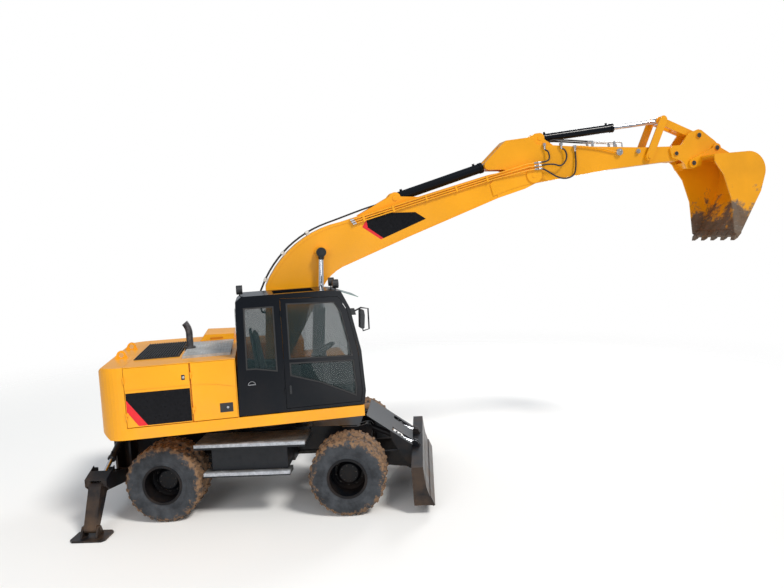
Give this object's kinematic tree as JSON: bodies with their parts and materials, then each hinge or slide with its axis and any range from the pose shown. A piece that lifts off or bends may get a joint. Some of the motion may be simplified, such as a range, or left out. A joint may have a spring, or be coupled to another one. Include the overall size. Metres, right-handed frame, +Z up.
{
  "type": "wheeled excavator",
  "caption": "Wheeled excavator with cab, one-piece boom, stick, bucket, twin tyres, dozer blade in front and folding outriggers behind.",
  "frame": {"origin": "on the ground under the swing axis", "axes": "+X along the boom, +Y to the machine's left, +Z up; the undercarriage is swung 14 degrees under the upper structure"},
  "size_m": [11.0136, 4.1167, 5.4987],
  "materials": {
    "paint": "satin",
    "black_paint": "satin",
    "worn_steel": "matte",
    "step_plate": "matte",
    "chrome": "polished",
    "tyre": "matte",
    "bucket_paint": "worn",
    "glass": "polished",
    "black_plastic": "matte",
    "interior": "matte",
    "seat_cloth": "matte",
    "hose": "matte",
    "line_steel": "satin",
    "exhaust_steel": "worn"
  },
  "bodies": {
    "undercarriage": {"chassis": "black_paint", "axle_front": "black_paint", "axle_rear": "black_paint", "driveline": "worn_steel", "steps": "step_plate", "swing_ring": "worn_steel"},
    "knuckle_right": {"knuckle_right": "black_paint"},
    "knuckle_left": {"knuckle_left": "black_paint"},
    "wheel_front_right": {"tyre_front_right": "tyre", "rim_front_right": "black_paint"},
    "wheel_front_left": {"tyre_front_left": "tyre", "rim_front_left": "black_paint"},
    "wheel_rear_right": {"tyre_rear_right": "tyre", "rim_rear_right": "black_paint"},
    "wheel_rear_left": {"tyre_rear_left": "tyre", "rim_rear_left": "black_paint"},
    "blade": {"dozer_blade": "black_paint"},
    "blade_barrels": {"blade_barrels": "black_paint"},
    "blade_rods": {"blade_rods": "chrome"},
    "leg_right": {"leg_right": "black_paint"},
    "pad_right": {"pad_right": "worn_steel"},
    "leg_barrel_right": {"leg_barrel_right": "black_paint"},
    "leg_rod_right": {"leg_rod_right": "chrome"},
    "leg_left": {"leg_left": "black_paint"},
    "pad_left": {"pad_left": "worn_steel"},
    "leg_barrel_left": {"leg_barrel_left": "black_paint"},
    "leg_rod_left": {"leg_rod_left": "chrome"},
    "upper": {"deck": "paint", "counterweight": "paint", "engine": "worn_steel", "housing": "paint", "hood_grille": "black_plastic", "exhaust": "exhaust_steel", "walkway": "step_plate", "cab_shell": "black_paint", "cab_glass": "glass", "cab_interior": "interior", "seat_pads": "seat_cloth", "cab_fittings": "black_plastic"},
    "cab_door": {"cab_door": "black_paint", "door_glass": "glass"},
    "door_engine": {"door_engine": "paint"},
    "door_service": {"door_service": "paint"},
    "door_left": {"door_left": "paint"},
    "boom": {"boom": "paint", "boom_lines": "hose"},
    "boom_barrels": {"boom_barrels": "black_paint"},
    "boom_rods": {"boom_rods": "chrome"},
    "stick": {"stick": "paint", "stick_lines": "line_steel", "elbow_hoses": "hose"},
    "stick_barrel": {"stick_barrel": "black_paint"},
    "stick_rod": {"stick_rod": "chrome"},
    "bucket_barrel": {"bucket_barrel": "black_paint"},
    "bucket_rod": {"bucket_rod": "chrome"},
    "rocker": {"rocker": "paint"},
    "link": {"link": "paint"},
    "bucket": {"coupler": "paint", "bucket": "bucket_paint"}
  },
  "joints": [
    {"name": "swing", "type": "hinge", "parent": "undercarriage", "child": "upper", "pos_m": [0, 0, 1.2], "axis": [0, 0, 1], "continuous": true},
    {"name": "steer_right", "type": "hinge", "parent": "undercarriage", "child": "knuckle_right", "pos_m": [1.13564, -0.90151, 0.53], "axis": [0, 0, 1], "range_deg": [-26, 26]},
    {"name": "steer_left", "type": "hinge", "parent": "undercarriage", "child": "knuckle_left", "pos_m": [1.42594, 0.26284, 0.53], "axis": [0, 0, 1], "range_deg": [-26, 26]},
    {"name": "roll_front_right", "type": "hinge", "parent": "knuckle_right", "child": "wheel_front_right", "pos_m": [1.04492, -1.26537, 0.53], "axis": [0.2419, 0.9703, 0], "continuous": true},
    {"name": "roll_front_left", "type": "hinge", "parent": "knuckle_left", "child": "wheel_front_left", "pos_m": [1.51666, 0.6267, 0.53], "axis": [0.2419, 0.9703, 0], "continuous": true},
    {"name": "roll_rear_right", "type": "hinge", "parent": "undercarriage", "child": "wheel_rear_right", "pos_m": [-1.40993, -0.65331, 0.53], "axis": [0.2419, 0.9703, 0], "continuous": true},
    {"name": "roll_rear_left", "type": "hinge", "parent": "undercarriage", "child": "wheel_rear_left", "pos_m": [-0.93818, 1.23876, 0.53], "axis": [0.2419, 0.9703, 0], "continuous": true},
    {"name": "blade_lift", "type": "hinge", "parent": "undercarriage", "child": "blade", "pos_m": [1.45544, -0.36288, 0.5], "axis": [-0.2419, -0.9703, 0], "range_deg": [-14, 20]},
    {"name": "blade_barrels_tilt", "type": "hinge", "parent": "undercarriage", "child": "blade_barrels", "pos_m": [1.50396, -0.37498, 0.985], "axis": [-0.2419, -0.9703, 0], "range_deg": [-12.12, 17.06]},
    {"name": "blade_rods_slide", "type": "slide", "parent": "blade_barrels", "child": "blade_rods", "axis": [0.8901, -0.2219, -0.398], "range_m": [-0.1679, 0.1187]},
    {"name": "leg_lift_right", "type": "hinge", "parent": "undercarriage", "child": "leg_right", "pos_m": [-2.09797, 0.05931, 0.45], "axis": [-0.9703, 0.2419, 0], "range_deg": [0, 36]},
    {"name": "pad_tilt_right", "type": "hinge", "parent": "leg_right", "child": "pad_right", "pos_m": [-2.38344, -1.08564, 0.11], "axis": [-0.9703, 0.2419, 0], "range_deg": [-15, 15]},
    {"name": "leg_barrel_tilt_right", "type": "hinge", "parent": "undercarriage", "child": "leg_barrel_right", "pos_m": [-2.10281, 0.0399, 1.05], "axis": [-0.9703, 0.2419, 0], "range_deg": [0, 31.73]},
    {"name": "leg_rod_slide_right", "type": "slide", "parent": "leg_barrel_right", "child": "leg_rod_right", "axis": [-0.2148, -0.8615, -0.46], "range_m": [-0.3698, 0]},
    {"name": "leg_lift_left", "type": "hinge", "parent": "undercarriage", "child": "leg_left", "pos_m": [-1.88024, 0.93257, 0.45], "axis": [0.9703, -0.2419, 0], "range_deg": [0, 36]},
    {"name": "pad_tilt_left", "type": "hinge", "parent": "leg_left", "child": "pad_left", "pos_m": [-1.59477, 2.07752, 0.11], "axis": [0.9703, -0.2419, 0], "range_deg": [-15, 15]},
    {"name": "leg_barrel_tilt_left", "type": "hinge", "parent": "undercarriage", "child": "leg_barrel_left", "pos_m": [-1.8754, 0.95198, 1.05], "axis": [0.9703, -0.2419, 0], "range_deg": [0, 31.73]},
    {"name": "leg_rod_slide_left", "type": "slide", "parent": "leg_barrel_left", "child": "leg_rod_left", "axis": [0.2148, 0.8615, -0.46], "range_m": [-0.3698, 0]},
    {"name": "cab_door_swing", "type": "hinge", "parent": "upper", "child": "cab_door", "pos_m": [0.249, -1.262, 2.2], "axis": [0, 0, -1], "range_deg": [0, 170]},
    {"name": "door_engine_swing", "type": "hinge", "parent": "upper", "child": "door_engine", "pos_m": [-1.798, -1.262, 1.8], "axis": [0, 0, 1], "range_deg": [-100, 0]},
    {"name": "door_service_swing", "type": "hinge", "parent": "upper", "child": "door_service", "pos_m": [-0.965, -1.262, 1.8], "axis": [0, 0, 1], "range_deg": [-100, 0]},
    {"name": "door_left_swing", "type": "hinge", "parent": "upper", "child": "door_left", "pos_m": [-1.798, 1.262, 1.8], "axis": [0, 0, -1], "range_deg": [-100, 0]},
    {"name": "boom_lift", "type": "hinge", "parent": "upper", "child": "boom", "pos_m": [0.15, 0.06, 1.83], "axis": [0, -1, 0], "range_deg": [-54, 28]},
    {"name": "boom_barrels_tilt", "type": "hinge", "parent": "upper", "child": "boom_barrels", "pos_m": [0.78, 0.06, 1.3], "axis": [0, -1, 0], "range_deg": [-46.41, 24.35]},
    {"name": "boom_rods_slide", "type": "slide", "parent": "boom_barrels", "child": "boom_rods", "axis": [0.0706, 0, 0.9975], "range_m": [-0.696, 0.3628]},
    {"name": "stick_tuck", "type": "hinge", "parent": "boom", "child": "stick", "pos_m": [4.41883, 0.06, 4.60221], "axis": [0, 1, 0], "range_deg": [0, 105]},
    {"name": "stick_barrel_tilt", "type": "hinge", "parent": "boom", "child": "stick_barrel", "pos_m": [2.15027, 0.06, 4.3297], "axis": [0, 1, 0], "range_deg": [-3.63, 0]},
    {"name": "stick_rod_slide", "type": "slide", "parent": "stick_barrel", "child": "stick_rod", "axis": [0.9593, 0, 0.2822], "range_m": [0, 1.1873]},
    {"name": "bucket_dump", "type": "hinge", "parent": "stick", "child": "bucket", "pos_m": [6.97973, 0.06, 4.87137], "axis": [0, -1, 0], "range_deg": [-60, 80]},
    {"name": "rocker_turn", "type": "hinge", "parent": "stick", "child": "rocker", "pos_m": [6.47561, 0.06, 4.83649], "axis": [0, -1, 0], "range_deg": [-38.24, 50.79]},
    {"name": "link_turn", "type": "hinge", "parent": "rocker", "child": "link", "pos_m": [6.74255, 0.06, 5.43467], "axis": [0, -1, 0], "range_deg": [-27.14, 20.51]},
    {"name": "bucket_barrel_tilt", "type": "hinge", "parent": "stick", "child": "bucket_barrel", "pos_m": [4.58004, 0.06, 5.19229], "axis": [0, -1, 0], "range_deg": [-5.4, 7.01]},
    {"name": "bucket_rod_slide", "type": "slide", "parent": "bucket_barrel", "child": "bucket_rod", "axis": [0.9938, 0, 0.1114], "range_m": [-0.502, 0.3775]}
  ],
  "couplings": [
    {"joint": "steer_left", "follows": "steer_right", "ratio": 1},
    {"joint": "blade_barrels_tilt", "follows": "blade_lift", "ratio": 0.8231},
    {"joint": "blade_rods_slide", "follows": "blade_lift", "m_per_rad": -0.4695},
    {"joint": "leg_barrel_tilt_right", "follows": "leg_lift_right", "ratio": 0.8648},
    {"joint": "leg_rod_slide_right", "follows": "leg_lift_right", "m_per_rad": -0.5822},
    {"joint": "leg_barrel_tilt_left", "follows": "leg_lift_left", "ratio": 0.8648},
    {"joint": "leg_rod_slide_left", "follows": "leg_lift_left", "m_per_rad": -0.5822},
    {"joint": "boom_barrels_tilt", "follows": "boom_lift", "ratio": 0.8483},
    {"joint": "boom_rods_slide", "follows": "boom_lift", "m_per_rad": 0.7342},
    {"joint": "stick_barrel_tilt", "follows": "stick_tuck", "ratio": -0.0288},
    {"joint": "stick_rod_slide", "follows": "stick_tuck", "m_per_rad": 0.6457},
    {"joint": "rocker_turn", "follows": "bucket_dump", "ratio": 0.6274},
    {"joint": "link_turn", "follows": "bucket_dump", "ratio": -0.3318},
    {"joint": "bucket_barrel_tilt", "follows": "bucket_dump", "ratio": 0.0801},
    {"joint": "bucket_rod_slide", "follows": "bucket_dump", "m_per_rad": -0.3566}
  ]
}
